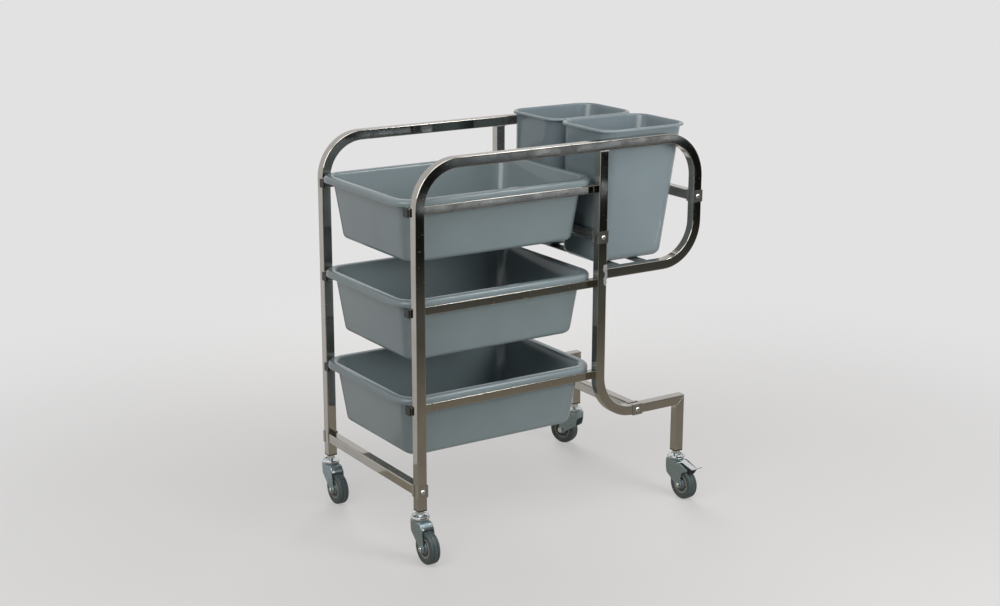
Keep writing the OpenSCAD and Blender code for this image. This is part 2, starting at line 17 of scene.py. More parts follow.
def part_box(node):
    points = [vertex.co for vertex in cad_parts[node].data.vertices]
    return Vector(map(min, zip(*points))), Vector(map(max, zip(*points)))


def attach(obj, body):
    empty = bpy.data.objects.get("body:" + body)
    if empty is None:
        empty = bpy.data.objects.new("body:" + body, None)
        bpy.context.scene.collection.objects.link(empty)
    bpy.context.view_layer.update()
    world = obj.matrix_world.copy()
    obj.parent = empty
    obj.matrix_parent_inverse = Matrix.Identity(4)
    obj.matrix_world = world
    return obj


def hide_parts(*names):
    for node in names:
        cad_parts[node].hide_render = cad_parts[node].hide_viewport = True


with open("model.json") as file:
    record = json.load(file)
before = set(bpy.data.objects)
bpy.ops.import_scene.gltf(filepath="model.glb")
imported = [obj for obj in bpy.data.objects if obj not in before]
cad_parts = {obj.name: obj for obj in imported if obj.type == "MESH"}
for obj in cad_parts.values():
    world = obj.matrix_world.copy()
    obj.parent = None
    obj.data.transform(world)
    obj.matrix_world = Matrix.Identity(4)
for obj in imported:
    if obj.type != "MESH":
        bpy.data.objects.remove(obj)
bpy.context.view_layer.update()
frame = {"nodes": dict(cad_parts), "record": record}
MM = 0.001

# %% [markdown]
# ## Colours and nodes
# Paint charts and screens give colours as sRGB hex values, but a shader works with linear light.
# One function converts them. A second one adds a node, sets it and links it, so that each material
# below reads as a short list of what its surface is made of.

# %% Colour and node helpers
def srgb(code):
    """The linear RGBA colour of an sRGB hex code."""
    parts = [int(code[i:i + 2], 16) / 255 for i in (1, 3, 5)]
    return [c / 12.92 if c <= 0.04045 else ((c + 0.055) / 1.055) ** 2.4 for c in parts] + [1.0]


def add(tree, kind, inputs=None, **settings):
    """Adds a node with its settings, input values and links."""
    node = tree.nodes.new(kind)
    for name, value in settings.items():
        setattr(node, name, value)
    for socket, value in (inputs or {}).items():
        if isinstance(value, bpy.types.NodeSocket):
            tree.links.new(value, node.inputs[socket])
        else:
            node.inputs[socket].default_value = value
    return node


def start_material(name):
    """An empty material, its node tree, and the Object coordinates of its piece."""
    material = bpy.data.materials.new(name)
    material.use_nodes = True
    tree = material.node_tree
    tree.nodes.clear()
    place = add(tree, "ShaderNodeTexCoord").outputs["Object"]
    return material, tree, place


def finish_material(material, tree, tint, roughness, relief, strength, depth_mm, **more):
    """Ends a material: its tint, roughness and shallow relief go into one shader."""
    bump = add(tree, "ShaderNodeBump", {"Height": relief, "Strength": strength,
                                        "Distance": depth_mm * MM})
    shader = add(tree, "ShaderNodeBsdfPrincipled", {"Base Color": tint, "Roughness": roughness,
                                                    "Normal": bump.outputs["Normal"], **more})
    add(tree, "ShaderNodeOutputMaterial", {"Surface": shader.outputs["BSDF"]})
    print("material:", material.name)
    return material


def per_metre(size_mm):
    """The texture scale at which one pattern feature is about this many millimetres wide."""
    return 1000.0 / size_mm


# %% [markdown]
# ## Polished stainless tube
# The frame is welded stainless tube, mirror polished on a belt. It mirrors the room, so most of its
# look comes from the light and not from its own colour. The belt leaves a hairline grain, hands
# leave a faint haze, and use leaves short scratches and dull specks. So the roughness wanders, and
# a very shallow bump breaks the mirror. The grain follows the tube: its noise is stretched along it.

# %% Polished stainless
def polished_stainless(name, along, colour="#bdbab4", haze_low=0.02, haze_high=0.08, metal=1.0):
    """Mirror polished stainless steel whose belt grain runs along X, Y or Z, or nowhere."""
    material, tree, place = start_material(name)
    # Belt grit leaves lines about 0.1 mm apart; they are drawn 1 mm apart, to show at this distance
    across, length = per_metre(1.0), per_metre(60.0)
    scale = [length if axis == along else across for axis in "XYZ"]
    if along is None:
        scale = [per_metre(4.0)] * 3
    grain_place = add(tree, "ShaderNodeMapping", {"Vector": place, "Scale": scale})
    grain = add(tree, "ShaderNodeTexNoise", {"Vector": grain_place.outputs["Vector"], "Scale": 1.0,
                                             "Detail": 3.0, "Roughness": 0.6})
    haze = add(tree, "ShaderNodeTexNoise", {"Vector": place, "Scale": per_metre(55.0), "Detail": 4.0})
    haze_amount = add(tree, "ShaderNodeMapRange", {"Value": haze.outputs["Fac"], "From Min": 0.35,
                                                   "From Max": 0.75, "To Min": haze_low,
                                                   "To Max": haze_high})
    lines = add(tree, "ShaderNodeMapRange", {"Value": grain.outputs["Fac"], "From Min": 0.3,
                                             "From Max": 0.7, "To Min": 0.0, "To Max": 0.03})
    polish = add(tree, "ShaderNodeMath", {0: haze_amount.outputs["Result"], 1: lines.outputs["Result"]},
                 operation="ADD")
    # Dull specks 1 to 2 mm wide, about 9 mm apart, in patches
    speck = add(tree, "ShaderNodeTexVoronoi", {"Vector": place, "Scale": per_metre(9.0)})
    dot = add(tree, "ShaderNodeMapRange", {"Value": speck.outputs["Distance"], "From Min": 0.07,
                                           "From Max": 0.13, "To Min": 0.55, "To Max": 0.0})
    patch = add(tree, "ShaderNodeMapRange", {"Value": haze.outputs["Fac"], "From Min": 0.5,
                                             "From Max": 0.62})
    dull = add(tree, "ShaderNodeMath", {0: dot.outputs["Result"], 1: patch.outputs["Result"]},
               operation="MULTIPLY")
    # Scratches about half a millimetre wide and a few centimetres long, slanting over the tube
    slant = add(tree, "ShaderNodeMapping", {"Vector": place, "Rotation": (0.5, 0.35, 0.2),
                                            "Scale": (per_metre(30.0), per_metre(0.7), per_metre(6.0))})
    scratch = add(tree, "ShaderNodeTexNoise", {"Vector": slant.outputs["Vector"], "Scale": 1.0,
                                               "Detail": 2.0})
    scored = add(tree, "ShaderNodeMapRange", {"Value": scratch.outputs["Fac"], "From Min": 0.68,
                                              "From Max": 0.75, "To Min": 0.0, "To Max": 0.3})
    wear = add(tree, "ShaderNodeMath", {0: dull.outputs["Value"], 1: scored.outputs["Result"]},
               operation="MAXIMUM")
    roughness = add(tree, "ShaderNodeMath", {0: polish.outputs["Value"], 1: wear.outputs["Value"]},
                    operation="ADD")
    tint = add(tree, "ShaderNodeMix", {"Factor": haze.outputs["Fac"], "A": srgb(colour),
                                       "B": srgb("#a5a199")}, data_type="RGBA")
    return finish_material(material, tree, tint.outputs["Result"], roughness.outputs["Value"],
                           grain.outputs["Fac"], strength=0.03, depth_mm=0.2, Metallic=metal)


stainless_loop = polished_stainless("stainless_bent_tube", None)
stainless_x = polished_stainless("stainless_rail", "X")
stainless_y = polished_stainless("stainless_crossbar", "Y")
stainless_z = polished_stainless("stainless_leg", "Z")
# The clips are pressed from strip that isn't polished, so they are a little duller than the tube
stainless_clip = polished_stainless("stainless_pressed_clip", "Z", "#c6c4bf", 0.26, 0.4)
# A bead keeps its grey oxide skin, which scatters light as paint does
weld_metal = polished_stainless("stainless_weld_metal", None, "#8d979d", 0.3, 0.45, metal=0.35)

# %% [markdown]
# ## Zinc-plated steel
# Caster forks, races, axles and screws are pressed or turned from mild steel and zinc plated. The
# plating is duller and bluer than stainless, with a cloudy spangle a few millimetres wide and dark
# specks where it has started to tarnish.

# %% Zinc plate
def zinc_plate(name, colour, cloud, smoothest, roughest, metal):
    """Zinc plating; metal below 1 stands for a passivated skin that scatters light."""
    material, tree, place = start_material(name)
    clouds = add(tree, "ShaderNodeTexNoise", {"Vector": place, "Scale": per_metre(9.0), "Detail": 5.0})
    specks = add(tree, "ShaderNodeTexVoronoi", {"Vector": place, "Scale": per_metre(2.5)})
    tint = add(tree, "ShaderNodeMix", {"Factor": clouds.outputs["Fac"], "A": srgb(colour),
                                       "B": srgb(cloud)}, data_type="RGBA")
    roughness = add(tree, "ShaderNodeMapRange", {"Value": clouds.outputs["Fac"], "From Min": 0.3,
                                                 "From Max": 0.75, "To Min": smoothest,
                                                 "To Max": roughest})
    return finish_material(material, tree, tint.outputs["Result"], roughness.outputs["Result"],
                           specks.outputs["Distance"], strength=0.03, depth_mm=0.3, Metallic=metal)


zinc_bright = zinc_plate("bright_zinc_plate", "#e6ebeb", "#cfd6d7", 0.14, 0.26, 1.0)
zinc_dull = zinc_plate("blue_passivated_zinc", "#98a8ac", "#829195", 0.24, 0.4, 0.72)

# %% [markdown]
# ## Moulded polypropylene
# Tubs and bins are injection moulded in blue-grey polypropylene. The mould was spark eroded, so the
# skin has a fine satin grain, and the plastic shows a faint cloudiness where it flowed. Stacking
# rubs pale scuffs into it. Colour carries the cloudiness, bump carries the grain.

# %% Blue-grey polypropylene
def moulded_polypropylene(name, colour, cloudy):
    """Satin polypropylene, with cloudy flow marks and pale scuffs."""
    material, tree, place = start_material(name)
    flow = add(tree, "ShaderNodeTexNoise", {"Vector": place, "Scale": per_metre(90.0), "Detail": 3.0})
    # Spark grain is about 0.3 mm; it is drawn 1.2 mm wide, to show in the render
    skin = add(tree, "ShaderNodeTexNoise", {"Vector": place, "Scale": per_metre(1.2), "Detail": 2.0})
    # Scuffs are some 3 mm wide and run on for ten centimetres
    rub_scale = (per_metre(120.0), per_metre(3.0), per_metre(40.0))
    stretch = add(tree, "ShaderNodeMapping", {"Vector": place, "Rotation": (0.3, 0.2, 0.9),
                                              "Scale": rub_scale})
    rubs = add(tree, "ShaderNodeTexNoise", {"Vector": stretch.outputs["Vector"], "Scale": 1.0,
                                            "Detail": 4.0})
    scuff = add(tree, "ShaderNodeMapRange", {"Value": rubs.outputs["Fac"], "From Min": 0.66,
                                             "From Max": 0.8, "To Min": 0.0, "To Max": 0.06})
    body = add(tree, "ShaderNodeMix", {"Factor": flow.outputs["Fac"], "A": srgb(colour),
                                       "B": srgb(cloudy)}, data_type="RGBA")
    worn = add(tree, "ShaderNodeMix", {"Factor": scuff.outputs["Result"], "A": body.outputs["Result"],
                                       "B": srgb("#b4bcbf")}, data_type="RGBA")
    roughness = add(tree, "ShaderNodeMapRange", {"Value": flow.outputs["Fac"], "From Min": 0.3,
                                                 "From Max": 0.7, "To Min": 0.09, "To Max": 0.17})
    return finish_material(material, tree, worn.outputs["Result"], roughness.outputs["Result"],
                           skin.outputs["Fac"], strength=0.08, depth_mm=0.25, IOR=1.49)


tub_plastic = moulded_polypropylene("blue_grey_polypropylene_tub", "#7a878a", "#717d80")
bin_plastic = moulded_polypropylene("blue_grey_polypropylene_bin", "#7e8b90", "#768287")

# %% [markdown]
# ## Rubber and small mouldings
# The tyres are grey non-marking rubber, matt and a little dusty. The wheel centres and the black
# plugs are nylon, with the same kind of fine grain but a tighter shine.

# %% Rubber and nylon
def matt_moulding(name, colour, dusty, feature_mm, low, high):
    """Matt rubber or nylon, dusty in patches of some millimetres, with a roughness from low to high."""
    material, tree, place = start_material(name)
    dust = add(tree, "ShaderNodeTexNoise", {"Vector": place, "Scale": per_metre(feature_mm),
                                            "Detail": 5.0})
    skin = add(tree, "ShaderNodeTexNoise", {"Vector": place, "Scale": per_metre(0.9), "Detail": 2.0})
    tint = add(tree, "ShaderNodeMix", {"Factor": dust.outputs["Fac"], "A": srgb(colour),
                                       "B": srgb(dusty)}, data_type="RGBA")
    roughness = add(tree, "ShaderNodeMapRange", {"Value": dust.outputs["Fac"], "From Min": 0.3,
                                                 "From Max": 0.7, "To Min": low, "To Max": high})
    return finish_material(material, tree, tint.outputs["Result"], roughness.outputs["Result"],
                           skin.outputs["Fac"], strength=0.2, depth_mm=0.2)


tyre_rubber = matt_moulding("grey_thermoplastic_rubber", "#3c4748", "#4a5658", 14.0, 0.42, 0.62)
wheel_nylon = matt_moulding("grey_nylon_wheel_centre", "#5d696b", "#69757a", 9.0, 0.35, 0.5)
ring_nylon = matt_moulding("pale_nylon_wheel_rim", "#8a857d", "#959088", 9.0, 0.4, 0.55)
black_nylon = matt_moulding("black_nylon_plug", "#141516", "#222425", 6.0, 0.4, 0.6)
black_rubber = matt_moulding("black_brake_rubber", "#17181a", "#26282a", 5.0, 0.7, 0.85)

# %% [markdown]
# ## Dressing the solids
# Every solid that is already right keeps its exact shape and only gets its finish. The table pairs
# the beginning of a node's name with a material; the longest beginning that fits wins.

# %% Materials on the CAD nodes
finishes = {
    "side_loop": stainless_loop, "rear_upright": stainless_loop, "rear_leg": stainless_z,
    "top_rail": stainless_x, "middle_rail": stainless_x, "bottom_rail": stainless_x,
    "front_crossbar": stainless_y, "rear_crossbar": stainless_y, "bin_front_bar": stainless_y,
    "bin_rear_bar": stainless_y, "front_slat": stainless_y, "rear_slat": stainless_y,
    "inner_saddles": stainless_clip, "saddle_clips": stainless_clip, "joint_bolts": zinc_bright,
    "bar_inserts": zinc_dull, "caster_stems": zinc_bright, "caster_races": zinc_bright,
    "fork": zinc_dull, "axle": zinc_bright, "bush": black_nylon, "wheel": wheel_nylon,
    "tyre": tyre_rubber, "brake_pin": zinc_bright, "brake_pedal": zinc_bright,
    "brake_pad": black_rubber, "rail_end_plugs": black_nylon, "leg_plugs": black_nylon,
    "top_tub": tub_plastic, "middle_tub": tub_plastic, "bottom_tub": tub_plastic,
    "near_bin": bin_plastic, "far_bin": bin_plastic,
}
for name, solid in frame["nodes"].items():
    start = max((key for key in finishes if name.startswith(key)), key=len)
    solid.data.materials.clear()
    solid.data.materials.append(finishes[start])
print("dressed solids:", len(frame["nodes"]))

# %% [markdown]
# ## Selecting by hand, in code
# The operators act on whatever is selected, and the loaded solids are all selected at first. So
# each piece starts with nothing selected. Small helpers choose a piece, open it for editing, and
# close it again.

# %% Selection helpers
def to_object_mode():
    if bpy.context.object and bpy.context.object.mode != "OBJECT":
        bpy.ops.object.mode_set(mode="OBJECT")


def deselect_all():
    to_object_mode()
    bpy.ops.object.select_all(action="DESELECT")


def choose(*pieces):
    """Selects these pieces alone; the first is the active one."""
    deselect_all()
    for piece in pieces:
        piece.select_set(True)
    bpy.context.view_layer.objects.active = pieces[0]


def new_plane(name, **place):
    """A plane of one metre, with nothing else selected."""
    deselect_all()
    bpy.ops.mesh.primitive_plane_add(size=1, **place)
    bpy.context.object.name = name
    return bpy.context.object


def edit(piece, mode):
    """Goes into edit mode on one piece, in vertex, edge or face selection."""
    choose(piece)
    bpy.ops.object.mode_set(mode="EDIT")
    bpy.ops.mesh.select_mode(type=mode)
    bpy.ops.mesh.select_all(action="SELECT")


def settle():
    """Back to object mode, with the chosen piece's place put into its mesh."""
    to_object_mode()
    bpy.ops.object.transform_apply(location=True, rotation=True, scale=True)


def apply_modifier(piece, kind, **settings):
    modifier = piece.modifiers.new(kind.title(), kind)
    for name, value in settings.items():
        setattr(modifier, name, value)
    bpy.context.view_layer.objects.active = piece
    bpy.ops.object.modifier_apply(modifier=modifier.name)


def soften_edges(piece, width_mm):
    """Rounds the sharp edges, and shades the piece smooth but for what is still sharp."""
    apply_modifier(piece, "BEVEL", width=width_mm * MM, segments=2, limit_method="ANGLE",
                   angle_limit=math.radians(50))
    choose(piece)
    bpy.ops.object.shade_smooth_by_angle(angle=math.radians(35))


# %% [markdown]
# ## Moulded shells
# A tub is one skin of even thickness: a turned-down lip, a flat rim that rolls over inwards, a
# sloping wall and a rounded floor. It could be revolved or lofted from curves, but its corners are
# tighter at the floor than at the rim. So it is modelled the way a shell is sketched by hand: one
# rounded face at the foot of the lip, raised and inset step by step over the rim, drawn down to the
# floor, and then thickened to the outside.

# %% Shell helpers
CORNER_STEPS = 14


def rounded_face(name, low, high, height, corner_r):
    """A flat face with round corners that fills a node's box, at a given height."""
    middle = ((low[0] + high[0]) / 2, (low[1] + high[1]) / 2, height)
    piece = new_plane(name, location=middle)
    edit(piece, "VERT")
    bpy.ops.transform.resize(value=(high[0] - low[0], high[1] - low[1], 1), center_override=middle)
    bpy.ops.mesh.bevel(offset=corner_r, offset_type="OFFSET", segments=CORNER_STEPS, affect="VERTICES")
    bpy.ops.mesh.select_mode(type="FACE")
    bpy.ops.mesh.select_all(action="SELECT")
    return piece, Vector(middle)


def step_in(inwards, up):
    """Insets the chosen face by some millimetres and raises it, or lowers it if up is negative."""
    bpy.ops.mesh.inset(thickness=inwards * MM, depth=up * MM, use_even_offset=True)


def quarter_round(radius, steps):
    """Insets along a quarter circle, over an outer edge."""
    for k in range(steps):
        a0, a1 = (math.pi / 2 * (k + i) / steps for i in (0, 1))
        step_in(radius * (math.cos(a0) - math.cos(a1)), radius * (math.sin(a1) - math.sin(a0)))


def draw_down(middle, size, inset_mm, down, ahead=0.0):
    """Extrudes the chosen face downwards, draws it in and moves it ahead, in millimetres."""
    bpy.ops.mesh.extrude_region_move(TRANSFORM_OT_translate={"value": (0, 0, -down * MM)})
    ratio = [(side - 2 * inset_mm * MM) / side for side in size]
    bpy.ops.transform.resize(value=(ratio[0], ratio[1], 1), center_override=middle)
    bpy.ops.transform.translate(value=(-ahead * MM, 0, 0))


def thicken(piece, wall_mm):
    """Gives the skin its wall to the outside, and softens the lip's edge."""
    settle()
    apply_modifier(piece, "SOLIDIFY", thickness=wall_mm * MM, offset=-1.0, use_even_offset=True)
    soften_edges(piece, width_mm=0.6)


# %% One shell from its sizes
SHELL_WALL, SHELL_TAPER = 3.0, 17.0


def follow(steps):
    """Takes steps of (inwards, up), in mm, with the chosen face."""
    for inwards, up in steps:
        step_in(inwards, up)


def model_shell(name, low, high, size):
    """A tub or bin in a box, from its lip over the rim and down to the floor."""
    lip, lip_r, flat = size["lip"], size["lip_r"], size["rim_flat"]
    piece, middle = rounded_face(name, low, high, high[2] - lip * MM, size["corner_r"] * MM)
    step_in(0.0, lip - lip_r)
    quarter_round(lip_r, size["lip_steps"])
    step_in(flat, 0.0)
    follow(size["rim_roll"])
    rim_w = lip_r + flat + sum(step[0] for step in size["rim_roll"])
    rim_size = [high[i] - low[i] - 2 * rim_w * MM for i in (0, 1)]
    falls = sum(step[1] for step in size["rim_roll"] + size["floor_round"])
    draw_down(middle, rim_size, SHELL_TAPER, (high[2] - low[2]) / MM + falls - SHELL_WALL, size["lean"])
    follow(size["floor_round"])
    thicken(piece, SHELL_WALL)
    return piece


# %% [markdown]
# ## The three bus tubs
# The tubs hang by their rims on the side rails. One is modelled at the top level and copied down
# to the other two, each with its own mesh, because each slides out on its own.

# %% Bus tubs
# The rim rolls over into the wall, and the wall into the floor, in steps of (inwards, up)
TUB = {"corner_r": 62.0, "lip": 15.0, "lip_r": 9.0, "lip_steps": 8, "rim_flat": 9.5, "lean": 0.0,
       "rim_roll": [(1.8, -0.5), (1.7, -1.4), (1.6, -2.2), (1.4, -2.9)],
       "floor_round": [(1.2, -4.4), (2.6, -3.6), (3.6, -2.2), (4.2, -0.8)]}


def copy_piece(piece, name, move=(0, 0, 0)):
    """A copy with its own mesh, moved in its mesh."""
    twin = piece.copy()
    twin.data = piece.data.copy()
    twin.name = name
    twin.data.transform(Matrix.Translation(move))
    bpy.context.scene.collection.objects.link(twin)
    return twin


top_tub = model_shell("bus_tub_top", *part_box("top_tub"), TUB)
tubs = {"top": top_tub}
for level in ("middle", "bottom"):
    drop = Vector(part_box(level + "_tub")[0]) - Vector(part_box("top_tub")[0])
    tubs[level] = copy_piece(top_tub, "bus_tub_" + level, drop)
for level, piece in tubs.items():
    piece.data.materials.append(tub_plastic)
    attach(piece, "tub_" + level)
    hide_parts(level + "_tub")
print("tubs:", [len(piece.data.polygons) for piece in tubs.values()], "faces")

# %% [markdown]
# ## The two bins
# The bins are tall. Their front wall stands almost upright against the bar, and their rear wall
# slopes, so the floor lies further forward than the rim. The same steps as for the tubs make them,
# with one sideways move when the wall is drawn down.

# %% Waste bins
BIN_RIM_L = 268.5
BIN = {"corner_r": 52.0, "lip": 6.0, "lip_r": 4.0, "lip_steps": 5, "rim_flat": 4.0, "lean": 27.0,
       "rim_roll": [(1.2, -0.8), (1.0, -2.0), (0.8, -3.2)],
       "floor_round": [(1.6, -6.0), (3.0, -5.0), (4.4, -3.6), (5.0, -1.4)]}

# The node's box is longer than the rim, because the floor lies further forward
low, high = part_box("near_bin")
near_bin = model_shell("waste_bin_near", (high[0] - BIN_RIM_L * MM, low[1], low[2]), high, BIN)
shift = Vector(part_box("far_bin")[0]) - Vector(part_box("near_bin")[0])
bins = {"near": near_bin, "far": copy_piece(near_bin, "waste_bin_far", shift)}
for side, piece in bins.items():
    piece.data.materials.append(bin_plastic)
    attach(piece, "bin_" + side)
    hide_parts(side + "_bin")
print("bins:", [len(piece.data.polygons) for piece in bins.values()], "faces")

# %% [markdown]
# ## Turned wheels
# A caster wheel is a nylon centre with a rubber tyre moulded onto it, and both are bodies of
# revolution. They could be cylinders with loops cut into them. Drawing half a section and spinning
# it is quicker, and gives the two tread grooves, the pale rim ring and the deep recess in one go.

# %% Spinning a section
TURNED_STEPS, SAME_POINT, SMOOTH_BELOW = 72, 0.01 * MM, math.radians(32)


def drawn_outline(name, points):
    """A closed line through points of (x, y, z) in mm, pulled out of one vertex; stays in edit mode."""
    piece = new_plane(name)
    edit(piece, "VERT")
    bpy.ops.mesh.merge(type="CENTER")
    bpy.ops.transform.translate(value=[c * MM for c in points[0]])
    for here, there in zip(points, points[1:] + points[:1]):
        step = [(c1 - c0) * MM for c0, c1 in zip(here, there)]
        bpy.ops.mesh.extrude_region_move(TRANSFORM_OT_translate={"value": step})
    bpy.ops.mesh.select_all(action="SELECT")
    return piece


def turned(name, section):
    """Draws a closed section of (radius, along) points in mm, and spins it round the Y axis."""
    piece = drawn_outline(name, [(r, y, 0.0) for r, y in section])
    bpy.ops.mesh.spin(steps=TURNED_STEPS, angle=2 * math.pi, center=(0, 0, 0), axis=(0, 1, 0))
    bpy.ops.mesh.select_all(action="SELECT")
    bpy.ops.mesh.remove_doubles(threshold=SAME_POINT)
    bpy.ops.mesh.normals_make_consistent(inside=False)
    settle()
    bpy.ops.object.shade_smooth_by_angle(angle=SMOOTH_BELOW)
    return piece


def both_sides(half):
    """A whole section from the half on one side of the wheel's middle plane."""
    return half + [(r, -y) for r, y in reversed(half) if y > 0]


# %% Wheels on their axles
# Half sections of (radius, distance from the wheel's middle plane) in mm
TYRE_SECTION = [(24.7, 11.0), (27.0, 12.1), (30.0, 12.5), (34.0, 12.5), (36.6, 12.2), (38.4, 11.2),
                (39.5, 9.4), (39.9, 7.4), (40.0, 5.9), (38.9, 5.5), (38.9, 4.5), (40.0, 4.1),
                (40.0, 0.0)]
CENTRE_SECTION = [(6.05, 14.0), (9.0, 14.0), (11.6, 12.6), (13.4, 10.0), (14.2, 6.4), (15.0, 4.2),
                  (19.4, 3.4), (20.6, 4.4), (21.0, 10.6), (21.6, 11.8), (24.0, 11.8), (24.6, 11.0),
                  (24.6, 0.0)]
PALE_RIM_R = 20.7
joints = {joint["name"]: joint for joint in frame["record"]["behaviour"]["joints"]}


def turn_at(piece, corner, place):
    """Turns a piece, in its mesh, to its caster's heading, and moves it to a place."""
    axle = joints["roll_" + corner]["axis"]
    heading = math.atan2(-axle[0], axle[1])
    piece.data.transform(Matrix.Translation(place) @ Matrix.Rotation(heading, 4, "Z"))


def place_on_axle(piece, corner):
    turn_at(piece, corner, joints["roll_" + corner]["pos_m"])
    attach(piece, "roller_" + corner)


def place_on_stem(piece, corner):
    x, y, _ = joints["swivel_" + corner]["pos_m"]
    turn_at(piece, corner, (x, y, 0))


def dress_wheel(centre):
    """The outermost band of the nylon centre is the pale rim; the rest is darker."""
    centre.data.materials.append(wheel_nylon)
    centre.data.materials.append(ring_nylon)
    for face in centre.data.polygons:
        face.material_index = int(math.hypot(face.center.x, face.center.z) > PALE_RIM_R * MM)


tyre_pattern = turned("wheel_tyre_front_near", both_sides(TYRE_SECTION))
tyre_pattern.data.materials.append(tyre_rubber)
centre_pattern = turned("wheel_centre_front_near", both_sides(CENTRE_SECTION))
dress_wheel(centre_pattern)
corners = ("front_far", "rear_near", "rear_far")
tyres = {corner: copy_piece(tyre_pattern, "wheel_tyre_" + corner) for corner in corners}
centres = {corner: copy_piece(centre_pattern, "wheel_centre_" + corner) for corner in corners}
tyres["front_near"], centres["front_near"] = tyre_pattern, centre_pattern
for corner, piece in tyres.items():
    place_on_axle(piece, corner)
    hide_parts("tyre_" + corner)
for corner, piece in centres.items():
    place_on_axle(piece, corner)
    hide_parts("wheel_" + corner)
print("wheels:", len(tyres), "tyres and", len(centres), "centres")

# %% [markdown]
# ## Dished races
# Above each fork sits the upper race of the swivel bearing, a small bowl of bright zinc-plated
# steel with a rolled lip. It could be carved from the CAD ring; turning it like the wheels is
# simpler. All four belong to the frame, so they are joined to one piece.

# %% Swivel races
RACE_SECTION = [(6.2, 0.3), (20.0, 0.3), (21.8, 1.2), (22.5, 2.8), (22.3, 4.8), (21.5, 6.6),
                (20.4, 7.3), (19.4, 6.8), (18.6, 5.0), (17.2, 3.2), (14.6, 2.4), (10.0, 2.6), (6.2, 2.8)]
STAND_UP = Matrix.Rotation(math.radians(90), 4, "X")
# The pressed crown lies 4 mm lower than the CAD fork's, and the bowl goes down with it
CROWN_DROP = 4.0
race_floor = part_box("caster_races")[0][2] - CROWN_DROP * MM
race = turned("caster_race_bowls", RACE_SECTION)
race.data.transform(STAND_UP)
stems = [joint["pos_m"] for name, joint in joints.items() if name.startswith("swivel")]
bowls = [copy_piece(race, "bowl", Vector((x, y, race_floor))) for x, y, _ in stems[1:]]
race.data.transform(Matrix.Translation((stems[0][0], stems[0][1], race_floor)))
choose(race, *bowls)
bpy.ops.object.join()
race.data.materials.append(zinc_bright)
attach(race, "frame")
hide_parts("caster_races")
print("races:", len(stems), "bowls,", len(race.data.polygons), "faces")

# %% [markdown]
# ## Pressed forks
# A caster's fork is folded from one sheet: a crown under the swivel bearing, two legs that run down
# to the axle, and short aprons that stiffen it behind and in front. It could be put together from
# plates. Here it starts as a solid slice with the leg's outline, loses the faces where the wheel
# comes out, and becomes a sheet with round folds, as the press leaves it. On the braked forks the
# legs reach further over the wheel, and the front stays open for the pedal.

# %% Leg outlines
# Points of (distance from the swivel axis, height) in mm, from the back of the crown to the axle
AXLE, EYE_R, EYE_START, EYE_STEP = (34.0, 40.0), 10.0, 55.0, 19.0
EYE = [(AXLE[0] + EYE_R * math.cos(a), AXLE[1] + EYE_R * math.sin(a))
       for a in (math.radians(EYE_START - EYE_STEP * k) for k in range(11))]
PLAIN_LEG = [(-21.0, 99.8), (17.0, 99.8), (27.0, 98.0), (33.5, 89.5), (36.0, 74.0),
             (39.0, 56.0)] + EYE + [(-19.0, 74.0)]
# A relief notch ends the braked leg's fold, as in bent sheet
BRAKED_LEG = [(-21.0, 99.8), (15.0, 99.8), (15.0, 95.0), (17.5, 95.0), (18.5, 99.5), (28.0, 98.9),
              (62.0, 87.2), (63.5, 84.6), (61.5, 82.0), (54.0, 80.0), (46.0, 75.5), (41.5, 68.0),
              (39.6, 60.0)] + EYE + [(-15.0, 60.0), (-21.0, 82.0)]
# The raised ring on the crown, as a section of (radius, height)
CROWN_RING = [(10.4, 98.8), (19.0, 98.8), (20.0, 99.8), (20.0, 101.8), (19.0, 102.8), (10.4, 102.8)]
FORK_HALF, FORK_SHEET, FOLD_R = 17.5, 2.5, 4.0
# Faces whose middle lies below this height are open, and so are those beyond the crown's end
APRON_FOOT, PLAIN_END, BRAKED_END = 86.0, 40.0, 14.0
print("leg outlines:", len(PLAIN_LEG), "and", len(BRAKED_LEG), "points")


# %% Folding a fork
def leg_slice(name, outline):
    """A solid slice with the leg's outline, as wide as the fork."""
    piece = drawn_outline(name, [(x, -FORK_HALF, z) for x, z in outline])
    bpy.ops.mesh.remove_doubles(threshold=SAME_POINT)
    bpy.ops.mesh.edge_face_add()
    bpy.ops.mesh.extrude_region_move(TRANSFORM_OT_translate={"value": (0, 2 * FORK_HALF * MM, 0)})
    bpy.ops.mesh.select_all(action="SELECT")
    bpy.ops.mesh.normals_make_consistent(inside=False)
    return piece


def pressed_fork(name, outline, crown_end):
    """Folds a fork in the caster's own frame; its top is open from crown_end on."""
    piece = leg_slice(name, outline)
    bpy.ops.mesh.select_mode(type="FACE")
    bpy.ops.mesh.select_all(action="DESELECT")
    to_object_mode()
    for face in piece.data.polygons:
        outside = face.center.z < APRON_FOOT * MM or face.center.x > crown_end * MM
        face.select = outside and abs(face.normal.y) < 0.5
    bpy.ops.object.mode_set(mode="EDIT")
    bpy.ops.mesh.delete(type="FACE")
    bpy.ops.mesh.select_mode(type="EDGE")
    bpy.ops.mesh.select_non_manifold(extend=False)
    bpy.ops.mesh.select_all(action="INVERT")
    bpy.ops.mesh.bevel(offset=FOLD_R * MM, segments=4, affect="EDGES", clamp_overlap=True)
    settle()
    apply_modifier(piece, "SOLIDIFY", thickness=FORK_SHEET * MM, offset=-1.0, use_even_offset=True)
    soften_edges(piece, width_mm=0.4)
    ring = turned("crown_ring", CROWN_RING)
    ring.data.transform(STAND_UP)
    choose(piece, ring)
    bpy.ops.object.join()
    bpy.ops.object.shade_smooth_by_angle(angle=SMOOTH_BELOW)
    # The flat of a leg stays flat, or the folds' round shading would spread over it
    for face in piece.data.polygons:
        face.use_smooth = abs(face.normal.y) < 0.99
    piece.data.materials.append(zinc_dull)
    return piece


